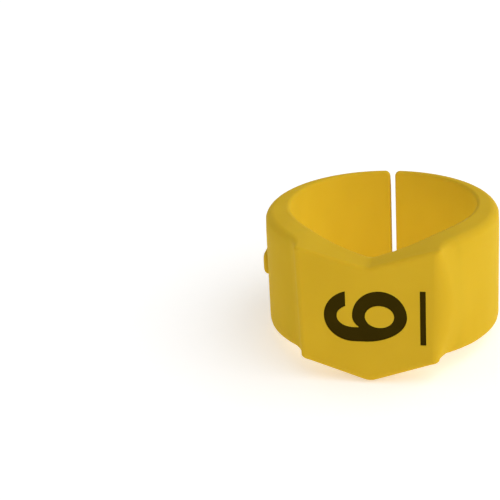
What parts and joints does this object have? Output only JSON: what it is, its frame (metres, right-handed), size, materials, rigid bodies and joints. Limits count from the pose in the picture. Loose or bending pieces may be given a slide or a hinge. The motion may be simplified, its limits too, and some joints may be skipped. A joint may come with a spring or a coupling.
{
  "type": "numbered clip-on leg band",
  "caption": "Flexible split ring that clips round a bird's leg, with a flat raised number plate that has a chevron notch at one end and a matching point at the other.",
  "frame": {"origin": "on the axis of the leg opening, at the middle of the ring's width", "axes": "+Z along the leg opening towards the notched end, -Y towards the number plate, +Y towards the split; the number reads with its top towards -X"},
  "size_m": [0.0203, 0.0194, 0.0119],
  "materials": {
    "band": "matte flexible moulded plastic, warm yellow",
    "mark": "matte black ink filling the mark"
  },
  "bodies": {
    "plate": {"number_plate": "band", "digit_mark": "mark", "underline_mark": "mark"},
    "left_arm": {"left_arm": "band", "side_lug": "band"},
    "right_arm": {"right_arm": "band"}
  },
  "joints": [
    {"name": "left_arm_flex", "type": "hinge", "parent": "plate", "child": "left_arm", "pos_m": [-0.00771, -0.00501, 0], "axis": [0, 0, 1], "range_deg": [-0.8, 24], "stiffness_Nm_per_rad": 0.15},
    {"name": "right_arm_flex", "type": "hinge", "parent": "plate", "child": "right_arm", "pos_m": [0.00771, -0.00501, 0], "axis": [0, 0, -1], "range_deg": [-0.8, 24], "stiffness_Nm_per_rad": 0.15}
  ]
}
